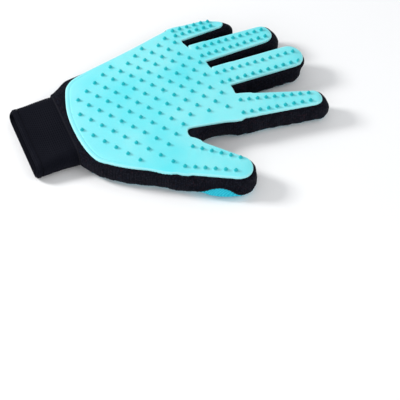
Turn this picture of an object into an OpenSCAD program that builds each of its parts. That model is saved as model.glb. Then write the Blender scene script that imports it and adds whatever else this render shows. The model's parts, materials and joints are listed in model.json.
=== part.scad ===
// Pet grooming glove for the right hand, laid on its back with the silicone palm up.
// +X runs from the cuff to the fingertips, +Y to the little finger, +Z out of the palm.
// The origin is on the resting plane, under the middle of the palm.

/* [Thickness] */
// Thickness of the mesh fabric on the back of the hand
mesh_t = 1.2; // [0.8:0.1:2]
// Thickness of the knitted side strips and of the knit under the silicone
knit_t = 1.6; // [1:0.1:2.4]
// Height of the hollow that the hand fills
hollow_h = 16.4; // [14:0.2:20]
// Thickness of the silicone sheet
pad_t = 1.6; // [1:0.1:2.5]

/* [Silicone tips] */
// Height of each tip above the sheet
nub_h = 2.4; // [2:0.1:4]
// Radius of each tip at its foot
nub_foot_r = 1.4; // [1:0.1:2]
// Radius of each tip at its end
nub_end_r = 0.6; // [0.4:0.1:1]
// Distance from tip to tip along a row of the palm, at the heel
palm_pitch = 11.2; // [9:0.2:13]
// Distance from row to row in the palm, at the heel
palm_row_gap = 9.8; // [8:0.2:12]
// Share by which the tips stand closer with each step towards the fingers
palm_closing = 0.012; // [0:0.001:0.02]
// Turn of the rows in the palm, in degrees
palm_grid_turn = 35; // [0:5:45]
// Least distance from the edge of the silicone to a palm tip
nub_margin = 5; // [4:0.2:8]
// How far the silicone stays back from the edge of the fabric
pad_margin = 1.3; // [1:0.1:2]

/* [Cuff] */
// Distance from the origin to the seam between hand and cuff
wrist_x = 74; // [73:1:76]
// Length of the cuff along the arm
cuff_len = 33; // [28:1:40]
// Width of the cuff laid flat
cuff_w = 70; // [66:1:72]
// Outer height of the open cuff
cuff_h = 17.4; // [15:0.2:18]
// Thickness of the doubled rib knit
cuff_t = 2; // [1.5:0.1:2.4]
// Width of the hem at the mouth of the cuff
hem_w = 5; // [4:0.5:8]

/* [Hidden] */
$fn = 32;

// Heights of the layers, from the resting plane up
lining_z = mesh_t + hollow_h;
pad_z = lining_z + mesh_t;
pad_top = pad_z + pad_t;

// Clearance between two pieces that meet at a knuckle
knuckle_gap = 0.4;
// Least distance from a tip in a digit's rows to a tip of the palm's grid
row_clear = 6;
// How far a digit's outline runs back into the palm
root_run = 16;
// How much thicker the walls are where a digit's hollow opens out of the palm
root_extra = 1.2;
// Half the size of the squares that cut the outlines
far = 200;
// Depth by which a cutting shape passes a face
bite = 1;
// Depth of a seam, and how far it stands proud
seam_w = 1.6;
seam_rise = 0.6;
// Where the hand's fabric ends, between the wrist seam and the palm
hand_end = wrist_x - seam_w - knuckle_gap / 2;
// Points on each stretch of a smooth outline
smooth_steps = 4;

// Each digit: root x, root y, direction in degrees, length, half width at the root,
// radius of the tip, distance to the first knuckle, how far the silicone stops short of
// the fabric's end, and the pitch of its two rows of silicone tips
THUMB = [2, -68.8, -38, 51.5, 19, 12.2, 4.2, 0.9, 7.45];
INDEX = [61, -36.3, -13.3, 65.5, 13.65, 8.6, 7.4, 3.7, 6.65];
MIDDLE = [61, -0.75, 0, 65.5, 12.7, 12.7, 8.85, 0.2, 6.45];
RING = [53, 29.3, 0.8, 64, 11.7, 10.3, 6.1, 4, 6.1];
PINKY = [43, 55.2, 0.5, 45.3, 9.05, 7, 4.9, 6.4, 6.05];
DIGITS = [THUMB, INDEX, MIDDLE, RING, PINKY];

// The rows of each digit, in the same order: pairs of tips before the first knuckle,
// between the knuckles and past the second; half the distance between the rows, at the
// root and at the end; how far the rows lie off the middle, at the root and at the end
ROWS = [
    [1, 3, 2, 10.2, 5.3, -1.3, 2.9],
    [2, 4, 3, 6.5, 3.2, -2, 0.6],
    [3, 4, 4, 5.4, 5.4, -2.4, -3],
    [2, 4, 4, 4.6, 3.7, -0.5, -0.5],
    [2, 3, 1, 3, 3, 0.4, 0.4]
];

function root_x(d) = d[0];
function root_y(d) = d[1];
function turn(d) = d[2];
function length(d) = d[3];
function root_half(d) = d[4];
function tip_r(d) = d[5];
function knuckle_1(d) = d[6];
function pad_short(d) = d[7];
function row_pitch(d) = d[8];
function rows(d) = ROWS[search([d], DIGITS)[0]];
function knuckle_2(d) = knuckle_1(d) + rows(d)[1] * row_pitch(d);

// Edge of the fabric round the palm, anticlockwise from the thumb side of the wrist
PALM_EDGE = [
    [-84, -36], [-73, -40], [-61, -51.2], [-49, -60.8], [-36.8, -68.4], [-24, -75.6], [-9, -83.6],
    [6, -66], [15.5, -55.8], [18.5, -51], [26, -47.4], [40, -47.7], [56, -49.7], [60.2, -23.8],
    [60.2, -12.2], [53, 12.5], [52, 17.9], [45, 41], [43, 46.3], [43, 64.2], [28, 61.7], [10, 56.6],
    [-14, 50.4], [-38, 45.3], [-50, 43.1], [-59, 43], [-66, 41.2], [-73, 37.5], [-84, 35]
];
// Edge of the silicone in the palm, in the same order
PAD_EDGE = [
    [-63, -46], [-55, -54], [-44, -62.2], [-30, -70.4], [-12, -80.4], [3, -64], [8.8, -53.2],
    [9.9, -47.5], [11.3, -44], [14.5, -43], [26, -44.5], [40, -46.4], [56, -48.4], [59, -24.6],
    [59, -11.2], [52.2, 10.4], [51, 18.8], [43.4, 39.6], [42, 47.2], [43, 62.6], [28, 60.2],
    [10, 55.1], [-14, 48.9], [-38, 43], [-51, 39], [-58.5, 33.5], [-62.5, 26], [-67.5, 8],
    [-69, -11], [-67.5, -31]
];
// One tip of the palm's grid, which sets where the others fall
GRID_START = [-55.9, 14.6];

KNIT_COLOUR = [0.09, 0.1, 0.14];
MESH_COLOUR = [0.1, 0.8, 0.93];
SILICONE_COLOUR = [0.5, 0.94, 0.96];
THREAD_COLOUR = [0.05, 0.05, 0.08];

// ---- Outlines ----

// Point at share t between b and c on a curve through a, b, c and d
function on_curve(a, b, c, d, t) =
    0.5 * (2 * b + (c - a) * t + (2 * a - 5 * b + 4 * c - d) * t * t + (3 * b - a - 3 * c + d) * t * t * t);

// A closed outline through the given points, rounded at each of them
function smooth_loop(p) = [
    for (i = [0 : len(p) - 1], k = [0 : smooth_steps - 1])
        on_curve(
            p[(i + len(p) - 1) % len(p)], p[i], p[(i + 1) % len(p)], p[(i + 2) % len(p)],
            k / smooth_steps
        )
];

// Unit vector square to the outline at point i, towards the inside
function inward(p, i) =
    let (along = p[(i + 1) % len(p)] - p[(i + len(p) - 1) % len(p)])
    [-along.y, along.x] / norm(along);

function inset_loop(p, inset) = [for (i = [0 : len(p) - 1]) p[i] + inset * inward(p, i)];

// A digit's outline in its own frame: straight sides that taper to a round tip
function digit_loop(d, inset, short) = concat(
    [[-root_run, -root_half(d) + inset], [0, -root_half(d) + inset]],
    [
        for (a = [-80 : 16 : 80])
            [length(d) - short - tip_r(d), 0] + (tip_r(d) - inset) * [cos(a), sin(a)]
    ],
    [[0, root_half(d) - inset], [-root_run, root_half(d) - inset]]
);

module at_digit(d) {
    translate([root_x(d), root_y(d), 0])
        rotate([0, 0, turn(d)])
            children();
}

// The stretch of a digit between two distances from its root, with its tip cut short if asked
module digit_part(d, from, to, inset = 0, short = 0) {
    at_digit(d)
        intersection() {
            polygon(digit_loop(d, inset, short));
            translate([from, -far / 2])
                square([to - from, far]);
        }
}

// The short root of each digit, up to its first knuckle
module digit_roots(inset = 0, shortened = false) {
    for (d = DIGITS)
        digit_part(d, -root_run / 2, knuckle_1(d) - knuckle_gap / 2, inset, shortened ? pad_short(d) : 0);
}

// The palm with the roots of its digits, cut straight at the wrist
module hand_plan(inset = 0) {
    difference() {
        union() {
            polygon(inset_loop(smooth_loop(PALM_EDGE), inset));
            digit_roots(inset);
        }
        translate([-far - hand_end, -far])
            square([far, 2 * far]);
    }
}

// ---- Layers ----

module layer(z, thickness) {
    translate([0, 0, z])
        linear_extrude(thickness)
            children();
}

module nub(x, y) {
    translate([x, y, pad_top - bite / 4])
        cylinder(h = nub_h + bite / 4, r1 = nub_foot_r, r2 = nub_end_r);
}

// ---- Palm ----

// Distance from point q to the straight stretch between a and b
function stretch_distance(q, a, b) =
    let (along = b - a, t = max(0, min(1, (q - a) * along / (along * along))))
    norm(q - a - t * along);

function edge_distance(q, p) =
    min([for (i = [0 : len(p) - 1]) stretch_distance(q, p[i], p[(i + 1) % len(p)])]);

// 1 if the stretch between a and b passes the ray that runs from q along +X
function crosses(q, a, b) =
    (a.y > q.y) != (b.y > q.y) && q.x < a.x + (b.x - a.x) * (q.y - a.y) / (b.y - a.y) ? 1 : 0;

function crossings(q, p, i = 0) =
    i == len(p) ? 0 : crosses(q, p[i], p[(i + 1) % len(p)]) + crossings(q, p, i + 1);

function inside(q, p) = crossings(q, p) % 2 == 1;

function row_half(d, s) = rows(d)[3] + (rows(d)[4] - rows(d)[3]) * s / length(d);
function row_middle(d, s) = rows(d)[5] + (rows(d)[6] - rows(d)[5]) * s / length(d);
function row_place(d, k) = knuckle_1(d) + (k + 0.5) * row_pitch(d);

// A place on the table, from distances along a digit and across it
function from_digit(d, s, t) =
    [root_x(d), root_y(d)] + [s * cos(turn(d)) - t * sin(turn(d)), s * sin(turn(d)) + t * cos(turn(d))];

// Where the tips of the digits' rows stand that are still in the palm
ROOT_TIPS = [
    for (d = DIGITS, k = [-rows(d)[0] : -1], side = [-1, 1])
        let (s = row_place(d, k))
        from_digit(d, s, row_middle(d, s) + side * row_half(d, s))
];

function free_of_rows(q) = min([for (tip = ROOT_TIPS) norm(q - tip)]) > row_clear;

// A point of the palm's grid, which closes up towards the fingers
function grid_point(i, j) =
    let (c = cos(palm_grid_turn), s = sin(palm_grid_turn), u = i * palm_pitch, v = j * palm_row_gap)
    GRID_START + [u * c - v * s, u * s + v * c] / (1 + palm_closing * (i + 0.6 * j));

// The tips of the grid that have silicone all round them
module palm_nubs() {
    edge = smooth_loop(PAD_EDGE);
    for (i = [-4 : 13], j = [-12 : 0]) {
        at = grid_point(i, j);
        if (inside(at, edge) && edge_distance(at, edge) > nub_margin && free_of_rows(at))
            nub(at.x, at.y);
    }
}

module palm_pad() {
    color(SILICONE_COLOUR) {
        layer(pad_z, pad_t) {
            polygon(smooth_loop(PAD_EDGE));
            digit_roots(pad_margin, shortened = true);
        }
        palm_nubs();
        for (d = DIGITS)
            digit_nubs(d, -rows(d)[0], -1);
    }
}

module palm_knit() {
    color(KNIT_COLOUR)
        layer(lining_z, mesh_t)
            hand_plan();
}

module back_mesh() {
    color(MESH_COLOUR)
        layer(0, mesh_t)
            hand_plan();
}

// The hollow of the hand, open at the wrist and into each digit
module hand_hollow() {
    polygon(inset_loop(smooth_loop(PALM_EDGE), knit_t));
    for (d = DIGITS) {
        digit_part(d, -bite, length(d), knit_t);
        digit_part(d, -0.65 * root_run, 0, knit_t + root_extra);
    }
}

// The upright wall round the palm, inside the given window
module hand_wall() {
    color(KNIT_COLOUR)
        layer(mesh_t, hollow_h)
            intersection() {
                difference() {
                    hand_plan();
                    hand_hollow();
                }
                children();
            }
}

module pinky_side_strip() {
    hand_wall()
        polygon([[-90, 0], [30, 50], [60, 57], [60, 90], [-90, 90]]);
}

module thumb_side_strip() {
    hand_wall()
        polygon([[-90, 0], [-90, -120], [40, -120], [0, -64]]);
}

module thumb_web_strip() {
    hand_wall()
        polygon([[0, -64], [40, -120], [90, -60], [66, -36], [20, -36]]);
}

module index_middle_web() {
    hand_wall()
        translate([50, -36])
            square([30, 36]);
}

module middle_ring_web() {
    hand_wall()
        translate([40, 0])
            square([40, 30.5]);
}

module ring_pinky_web() {
    hand_wall()
        translate([30, 30.5])
            square([40, 26.5]);
}

// ---- Digits ----

module base_part(d, inset = 0, short = 0) {
    digit_part(d, knuckle_1(d) + knuckle_gap / 2, knuckle_2(d) - knuckle_gap / 2, inset, short);
}

module tip_part(d, inset = 0, short = 0) {
    digit_part(d, knuckle_2(d) + knuckle_gap / 2, length(d) + bite, inset, short);
}

// Pairs of tips along a digit, counted from its first knuckle
module digit_nubs(d, first, last) {
    at_digit(d)
        for (k = [first : last], side = [-1, 1]) {
            s = row_place(d, k);
            nub(s, row_middle(d, s) + side * row_half(d, s));
        }
}

module base_pad(d) {
    color(SILICONE_COLOUR) {
        layer(pad_z, pad_t)
            base_part(d, pad_margin, pad_short(d));
        digit_nubs(d, 0, rows(d)[1] - 1);
    }
}

module tip_pad(d) {
    color(SILICONE_COLOUR) {
        layer(pad_z, pad_t)
            tip_part(d, pad_margin, pad_short(d));
        digit_nubs(d, rows(d)[1], rows(d)[1] + rows(d)[2] - 1);
    }
}

// The knit of one stretch: its face under the silicone and its side walls
module knit_channel(d) {
    color(KNIT_COLOUR)
        difference() {
            layer(mesh_t, hollow_h + mesh_t)
                children();
            layer(mesh_t - bite, hollow_h + bite)
                digit_part(d, 0, length(d), knit_t);
        }
}

module base_knit(d) {
    knit_channel(d)
        base_part(d);
}

module tip_knit(d) {
    knit_channel(d)
        tip_part(d);
}

module base_back(d) {
    color(MESH_COLOUR)
        layer(0, mesh_t)
            base_part(d);
}

module tip_back(d) {
    color(MESH_COLOUR)
        layer(0, mesh_t)
            tip_part(d);
}

// ---- Cuff ----

// A flattened ring, seen along the arm
module oval(w, h) {
    square([w - h, h], center = true);
    for (side = [-1, 1])
        translate([side * (w - h) / 2, 0])
            circle(d = h);
}

// An open sleeve along the arm, from one distance before the origin to another
module sleeve(from, to, w, h, wall) {
    translate([-from, 0, cuff_h / 2])
        rotate([90, 0, 90])
            linear_extrude(from - to)
                difference() {
                    oval(w, h);
                    oval(w - 2 * wall, h - 2 * wall);
                }
}

module cuff_band() {
    color(KNIT_COLOUR)
        sleeve(wrist_x + cuff_len - hem_w, wrist_x + knuckle_gap / 2, cuff_w, cuff_h, cuff_t);
}

module cuff_hem() {
    color(KNIT_COLOUR)
        sleeve(wrist_x + cuff_len, wrist_x + cuff_len - hem_w, cuff_w - 1, cuff_h, cuff_t + 0.4);
}

// Joins the cuff to the hand
module wrist_seam() {
    color(THREAD_COLOUR)
        sleeve(wrist_x - knuckle_gap / 2, hand_end, cuff_w + 2, cuff_h - seam_rise, cuff_t);
}

// Closes the rib knit into a tube, on the little-finger side
module cuff_side_seam() {
    from = wrist_x + cuff_len - hem_w;
    to = wrist_x + knuckle_gap / 2;
    color(THREAD_COLOUR)
        difference() {
            translate([-from, cuff_w / 2 - seam_rise, (cuff_h - seam_w) / 2])
                cube([from - to, 2 * seam_rise, seam_w]);
            translate([-from - bite, 0, cuff_h / 2])
                rotate([90, 0, 90])
                    linear_extrude(cuff_len)
                        oval(cuff_w, cuff_h);
        }
}

palm_pad();
palm_knit();
pinky_side_strip();
thumb_side_strip();
thumb_web_strip();
index_middle_web();
middle_ring_web();
ring_pinky_web();
back_mesh();
wrist_seam();
cuff_band();
cuff_hem();
cuff_side_seam();
base_pad(THUMB);  // thumb_base_pad
base_knit(THUMB);  // thumb_base_knit
base_back(THUMB);  // thumb_base_back
tip_pad(THUMB);  // thumb_tip_pad
tip_knit(THUMB);  // thumb_tip_knit
tip_back(THUMB);  // thumb_tip_back
base_pad(INDEX);  // index_base_pad
base_knit(INDEX);  // index_base_knit
base_back(INDEX);  // index_base_back
tip_pad(INDEX);  // index_tip_pad
tip_knit(INDEX);  // index_tip_knit
tip_back(INDEX);  // index_tip_back
base_pad(MIDDLE);  // middle_base_pad
base_knit(MIDDLE);  // middle_base_knit
base_back(MIDDLE);  // middle_base_back
tip_pad(MIDDLE);  // middle_tip_pad
tip_knit(MIDDLE);  // middle_tip_knit
tip_back(MIDDLE);  // middle_tip_back
base_pad(RING);  // ring_base_pad
base_knit(RING);  // ring_base_knit
base_back(RING);  // ring_base_back
tip_pad(RING);  // ring_tip_pad
tip_knit(RING);  // ring_tip_knit
tip_back(RING);  // ring_tip_back
base_pad(PINKY);  // pinky_base_pad
base_knit(PINKY);  // pinky_base_knit
base_back(PINKY);  // pinky_base_back
tip_pad(PINKY);  // pinky_tip_pad
tip_knit(PINKY);  // pinky_tip_knit
tip_back(PINKY);  // pinky_tip_back
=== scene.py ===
import json
import math

import bpy
import numpy as np
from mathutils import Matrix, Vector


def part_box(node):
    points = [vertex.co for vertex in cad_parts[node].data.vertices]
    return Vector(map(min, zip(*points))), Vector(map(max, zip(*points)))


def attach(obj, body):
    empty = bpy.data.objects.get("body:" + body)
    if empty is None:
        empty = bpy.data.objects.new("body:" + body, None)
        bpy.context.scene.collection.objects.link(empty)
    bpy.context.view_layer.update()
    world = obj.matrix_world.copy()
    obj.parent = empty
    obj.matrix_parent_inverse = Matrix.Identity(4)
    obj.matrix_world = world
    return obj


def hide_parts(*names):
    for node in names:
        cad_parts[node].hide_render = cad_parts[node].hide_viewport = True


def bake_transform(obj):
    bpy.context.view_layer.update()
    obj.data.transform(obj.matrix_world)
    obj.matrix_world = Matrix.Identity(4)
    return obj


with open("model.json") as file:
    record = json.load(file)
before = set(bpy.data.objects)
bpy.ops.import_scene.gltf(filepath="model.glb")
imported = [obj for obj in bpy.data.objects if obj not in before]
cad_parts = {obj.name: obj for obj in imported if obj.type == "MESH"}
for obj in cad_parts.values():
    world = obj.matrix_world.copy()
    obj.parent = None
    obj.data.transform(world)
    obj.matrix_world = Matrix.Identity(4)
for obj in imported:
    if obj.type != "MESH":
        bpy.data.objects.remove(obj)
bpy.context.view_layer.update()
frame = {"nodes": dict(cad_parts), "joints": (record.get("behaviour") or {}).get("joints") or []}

import openvdb
from mathutils import Vector, geometry

# A pet grooming glove that lies on its back, palm up. Shapes are worked out in millimetres
# and turned into metres when a piece is made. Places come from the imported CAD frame.

MM = 0.001

# ---- Driving sizes, in millimetres ----

KNIT_THICK = 1.3
MESH_THICK = 1.0
SEAM_HEIGHT = 2.3           # where the side knit meets the mesh back
SEAM_LIFT = 5               # what is added to that well inside the outline
SEAM_DIP = 2.4              # what is taken off at the hand's end
FLOOR_GAP = 0.45            # keeps the waves of the underside above the table
MID_HEIGHT = 9              # half the height of the cloth body
TOP_ROUND = 2.6             # radius of the edge under the silicone
BACK_ROUND = 6.5            # radius of the edge towards the back
CROWN, CROWN_RUN = 0.9, 14  # how far the palm side swells, and how far in from its outline
SIDE_BULGE = 0.7            # how far the walls swell at half height

# The hand's end, which draws in before the cuff
PINCH = 3.4                 # how far it draws in
PINCH_FROM = 11             # how far before its end that starts
PINCH_RUN = 11.2            # a little longer, so that the wall never stands square to the cuff
PINCH_OUTER = 0.45          # its share on the little finger's side
PINCH_THUMB = 1.85          # what is added to that towards the thumb's side
PINCH_TOP, PINCH_BACK = 0.45, 0.3           # its shares for the palm side and for the back
WRIST_WIDTH = 76
WRIST_CARRY, WRIST_TAPER = 12, 0.97         # how the outline is carried on past the wrist
WRIST_TOP_ROUND, WRIST_BACK_ROUND = 5, 1.5  # added to the two radii above
SHOULDER_IN, SHOULDER_DOWN = 2.4, 2.6       # the slope on the little finger's side

# Places that lean or swell
BELLY = 4.8                 # how far the mesh swells out under the thumb
WEB_TUCK = 3.2              # how far the wall between thumb and index finger tucks in
TIP_TUCK = 3.9              # the same for the wall round the middle finger's end
DROOP = {"thumb": 1.6, "index": 6, "middle": 1.6, "ring": 5.5, "pinky": 6}
DROOP_RUN = 10              # each digit's end comes down by its DROOP over this length
ROLL_RUN = 26               # length of the little finger's end that turns in and down
ROLL_IN, ROLL_DOWN = 3.2, 3.5

# Creases, gathers and waves of the cloth
CREASE_WIDTH = 1.5
GATHER_PITCH, GATHER_DEPTH = 13.0, 1.9
GATHER_FROM, GATHER_RUN = 24, 22    # how far before the hand's end they start, and grow
PUFF = 0.35                 # share of the PUFFS below that shows on the back
# Waves: direction in degrees, wavelength, height, phase
PUFFS = [(20, 41, 0.45, 0.3), (75, 33, 0.4, 1.7), (-35, 27, 0.32, 4.1), (110, 23, 0.25, 2.2)]
PUCKERS = [(8, 9.5, 0.08, 0.9), (97, 8.2, 0.08, 2.8), (50, 6.7, 0.07, 5.0), (-48, 7.4, 0.07, 1.1)]

# The silicone
PAD_THICK = 1.6
PAD_RIM = 0.8               # radius of its edge
PAD_SINK = 0.5              # how far it reaches into the knit
GROOVE_INSET, GROOVE_WIDTH, GROOVE_DEPTH = 3.2, 0.5, 0.28
GROOVE_FROM = -30           # the groove is on the wrist's side of this x
NUB_FOOT, NUB_END = 1.6, 0.8    # radii
NUB_FILLET, NUB_ROUND = 1.0, 0.35
NUB_LEAN = 0.96             # cosine of the slope of a tip's side
NUB_NEAR = 2.5              # CAD points closer than this belong to one tip

# How softly each digit's fabric and silicone run into the palm's
WEB_FILLET = {"thumb": 6, "index": 5, "middle": 3.2, "ring": 3.2, "pinky": 3.2}
PAD_FILLET = {"thumb": 4.5, "index": 2.2, "middle": 0.8, "ring": 0.8, "pinky": 0.8}
ROOT_RUN = 8                # how far a digit's outline runs back into the palm

# How far the hand runs on before each digit's first knuckle, and half the width of its region
ROOT_BEFORE = {"thumb": 4.2, "index": 7.4, "middle": 8.85, "ring": 6.1, "pinky": 4.9}
REACH = {"thumb": 24, "index": 17, "middle": 14.8, "ring": 14.3, "pinky": 11.8}
DIGIT_NAMES = list(ROOT_BEFORE)
CUT_SHARE = 0.62            # where a digit's two pieces meet, from knuckle to knuckle

# The cuff
CUFF_THICK = 2.0
CUFF_TUCK = 3.0             # how far the cuff reaches inside the hand
CUFF_SAG = 3.4              # how much lower the cuff lies at its mouth
RIB_PITCH, RIB_DEPTH = 1.55, 0.2
CUFF_POINTS = 132           # round one ring of the cuff
CUFF_STEP = 0.26            # from ring to ring on the ribbed face
CUFF_SKEW = 1.9             # how much shorter the mouth's upper layer is
HOLLOW, RIPPLE = 0.9, 0.3   # how unevenly the cuff's upper layer lies

# The threads' radii
PIPING, ROLL = 0.55, 0.8
STITCH = 0.2

# How finely the shapes are sampled
BODY_STEP, PAD_STEP, PLAN_STEP = 1.0, 0.6, 0.5
PAD_MERGE = 0.008           # how far flat stretches of silicone share larger triangles
SLOPE_STEP = 0.12           # for slopes measured by small steps
SNAP = 0.04                 # points this close to a cut lie on it

# ---- Small vector helpers ----


def smooth(value, low, high):
    """0 below low, 1 above high, and a smooth step between them."""
    t = np.clip((value - low) / (high - low), 0, 1)
    return t * t * (3 - 2 * t)


def round_join(a, b, radius):
    """Signed distance to the inside of both a and b, with a rounded edge."""
    u, v = np.maximum(a + radius, 0), np.maximum(b + radius, 0)
    return np.minimum(-radius, np.maximum(a, b)) + np.hypot(u, v)


def smooth_union(a, b, reach):
    """Signed distance to the inside of a or b, with a fillet between them."""
    h = np.maximum(reach - np.abs(a - b), 0) / reach
    return np.minimum(a, b) - h * h * reach / 4


def spot(x, y, at, size):
    """1 at a place over the table, fading to 0 round it."""
    return np.exp(-(((x - at[0]) / size[0]) ** 2) - ((y - at[1]) / size[1]) ** 2)


def polygon_distance(x, y, loop):
    """Signed distance to a closed outline, negative inside."""
    best = np.full(x.shape, 1e9)
    inside = np.zeros(x.shape, bool)
    for (ax, ay), (bx, by) in zip(loop, np.roll(loop, -1, axis=0)):
        ex, ey = bx - ax, by - ay
        wx, wy = x - ax, y - ay
        t = np.clip((wx * ex + wy * ey) / (ex * ex + ey * ey + 1e-12), 0, 1)
        best = np.minimum(best, (wx - ex * t) ** 2 + (wy - ey * t) ** 2)
        if ay != by:
            inside ^= ((ay > y) != (by > y)) & (x < ax + ex * (y - ay) / ey)
    return np.sqrt(best) * np.where(inside, -1, 1)


# ---- What the frame says ----


def node_points(name):
    """The CAD node's vertices, in millimetres."""
    mesh = frame["nodes"][name].data
    co = np.zeros(len(mesh.vertices) * 3)
    mesh.vertices.foreach_get("co", co)
    return co.reshape(-1, 3) / MM


def node_outline(name):
    """The outline of a CAD node's flat underside."""
    mesh = frame["nodes"][name].data
    co = node_points(name)
    low = co[:, 2].min()
    uses = {}
    for face in mesh.polygons:
        corners = [tuple(np.round(co[i], 3)) for i in face.vertices]
        if all(c[2] < low + 0.01 for c in corners):
            for a, b in zip(corners, corners[1:] + corners[:1]):
                uses[a[:2], b[:2]] = True
    follow = {a: b for a, b in uses if (b, a) not in uses}
    loop = [next(iter(follow))]
    while follow[loop[-1]] != loop[0]:
        loop.append(follow[loop[-1]])
    return np.array(loop)


JOINTS = {j["name"]: j for j in frame["joints"]}


class Digit:
    """A digit's own frame: s runs along it from the first knuckle, t across it."""

    def __init__(self, name):
        self.name = name
        first = np.array(JOINTS[name + "_knuckle_bend"]["pos_m"]) / MM
        second = np.array(JOINTS[name + "_middle_bend"]["pos_m"]) / MM
        self.origin = first
        self.span = np.linalg.norm(second - first)
        self.along = ((second - first) / self.span)[:2]
        self.across = np.array([-self.along[1], self.along[0]])
        self.root = -ROOT_BEFORE[name]
        self.cut = CUT_SHARE * self.span
        self.end = self.local(*node_points(name + "_tip_knit").T[:2])[0].max()

    def local(self, x, y):
        """s and t of places over the table."""
        dx, dy = x - self.origin[0], y - self.origin[1]
        s = dx * self.along[0] + dy * self.along[1]
        return s, dx * self.across[0] + dy * self.across[1]

    def place(self, s):
        """A place on the digit's middle line, at half height."""
        return np.array([*(self.origin[:2] + s * self.along), MID_HEIGHT])

    def outline(self, layer):
        """The digit's outline from its CAD nodes: sides that taper to a round tip."""
        s, t = self.local(*node_points(f"{self.name}_base_{layer}").T[:2])
        start = np.abs(t[s < s.min() + 0.1]).max()
        end = np.abs(t[s > s.max() - 0.1]).max()
        slope = (end - start) / (s.max() - s.min())
        level = start - slope * s.min()
        reach = self.local(*node_points(f"{self.name}_tip_{layer}").T[:2])[0].max()
        radius = (level + slope * reach) / (1 + slope)
        half = level + slope * self.root
        turn = np.radians(np.arange(-90, 91, 9))
        s = np.r_[self.root - ROOT_RUN, self.root, reach - radius + radius * np.cos(turn)]
        t = np.r_[-half, -half, radius * np.sin(turn)]
        s, t = np.r_[s, self.root, self.root - ROOT_RUN], np.r_[t, half, half]
        return self.origin[:2] + s[:, None] * self.along + t[:, None] * self.across


DIGITS = [Digit(name) for name in DIGIT_NAMES]
HAND_END = node_outline("palm_knit")[:, 0].min()
KNIT_TOP = node_points("palm_knit")[:, 2].max()
PAD_TOP = KNIT_TOP + PAD_THICK
NUB_TOP = node_points("palm_pad")[:, 2].max()


def nub_centres():
    """Where the CAD model's tips stand, found from the ring at the end of each."""
    found = []
    digit_pads = [f"{d}_{part}_pad" for d in DIGIT_NAMES for part in ("base", "tip")]
    for name in ["palm_pad"] + digit_pads:
        co = node_points(name)
        rings = {}
        for x, y, _ in co[co[:, 2] > NUB_TOP - 0.05]:
            near = next((c for c in rings if math.dist(c, (x, y)) < NUB_NEAR), (x, y))
            rings.setdefault(near, []).append((x, y))
        found += [(np.min(ring, axis=0) + np.max(ring, axis=0)) / 2 for ring in rings.values()]
    return np.array(found)


# ---- Plans: smooth distance maps of outlines ----

LOW, HIGH = np.array([-120.0, -114.0]), np.array([134.0, 82.0])     # corners of the maps


class Plan:
    """A distance map over the table, read through a cubic B-spline, so that it is smooth."""

    def __init__(self, shape):
        self.x = np.arange(LOW[0], HIGH[0], PLAN_STEP)
        self.y = np.arange(LOW[1], HIGH[1], PLAN_STEP)
        self.values = shape(*np.meshgrid(self.x, self.y, indexing="ij"))

    def __call__(self, x, y):
        x, y = np.broadcast_arrays(x, y)
        u, v = (x - LOW[0]) / PLAN_STEP, (y - LOW[1]) / PLAN_STEP
        i = np.clip(np.floor(u).astype(int), 1, len(self.x) - 3)
        j = np.clip(np.floor(v).astype(int), 1, len(self.y) - 3)
        wu, wv = self._weights(np.clip(u - i, 0, 1)), self._weights(np.clip(v - j, 0, 1))
        total = np.zeros(x.shape)
        for a in range(4):
            for b in range(4):
                total += wu[a] * wv[b] * self.values[i + a - 1, j + b - 1]
        return total

    @staticmethod
    def _weights(t):
        """Cubic B-spline weights of the four samples round a place."""
        return (
            (1 - t) ** 3 / 6,
            (3 * t**3 - 6 * t**2 + 4) / 6,
            (-3 * t**3 + 3 * t**2 + 3 * t + 1) / 6,
            t**3 / 6,
        )


def joined_outline(palm, layer, fillets):
    """A map of the palm's outline joined to the digits' outlines."""

    def shape(x, y):
        total = polygon_distance(x, y, palm)
        for d in DIGITS:
            digit = polygon_distance(x, y, d.outline(layer))
            total = smooth_union(total, digit, fillets[d.name])
        return total

    return Plan(shape)


def open_at_wrist(loop):
    """The palm's outline carried on past the wrist, so that its end isn't rounded there."""
    at_end = loop[:, 0] < HAND_END + 0.01
    carried = loop.copy()
    carried[at_end, 0] -= WRIST_CARRY
    carried[at_end, 1] *= WRIST_TAPER
    return carried


hand_outline = joined_outline(open_at_wrist(node_outline("palm_knit")), "knit", WEB_FILLET)
pad_outline = joined_outline(node_outline("palm_pad"), "pad", PAD_FILLET)

# ---- The glove's body as a field ----


def waves(x, y, z, table):
    """The sum of a table's waves, which make the cloth uneven."""
    total = 0
    for degrees, length, height, phase in table:
        a = math.radians(degrees)
        along = x * math.cos(a) + y * math.sin(a) + 0.6 * z
        total = total + height * np.sin(2 * math.pi * along / length + phase)
    return total


def crease(distance, width):
    """A narrow valley with soft shoulders."""
    return np.exp(-((distance / width) ** 2)) - 0.35 * np.exp(-((distance / (2.6 * width)) ** 2))


def knuckle_creases(x, y):
    """Folds across the back of each digit, where it has been bent."""
    total = 0
    for d in DIGITS:
        s, t = d.local(x, y)
        on_digit = smooth(s, d.root - 4, d.root + 3) * smooth(18 - np.abs(t), 0, 3)
        # Each fold's place along the digit, its depth and its slant
        folds = (
            (0.5, 0.7, 0.10), (d.span - 4, 0.8, -0.14), (d.span + 3.5, 0.9, 0.12),
            (d.span + 11, 0.45, -0.2), (0.5 * d.span, 0.4, 0.22),
        )
        for at, depth, slant in folds:
            total = total + depth * on_digit * crease(s - at - slant * t, CREASE_WIDTH)
    return total


def gathers(x, y):
    """Scalloped folds where the mesh is drawn in at the cuff."""
    reach = smooth(HAND_END + GATHER_FROM - x, 0, GATHER_RUN)
    wave = np.abs(np.cos(math.pi * (y + 2.5 * np.sin(x / 7)) / GATHER_PITCH))
    return GATHER_DEPTH * reach * (1 - wave**0.6)


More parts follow.
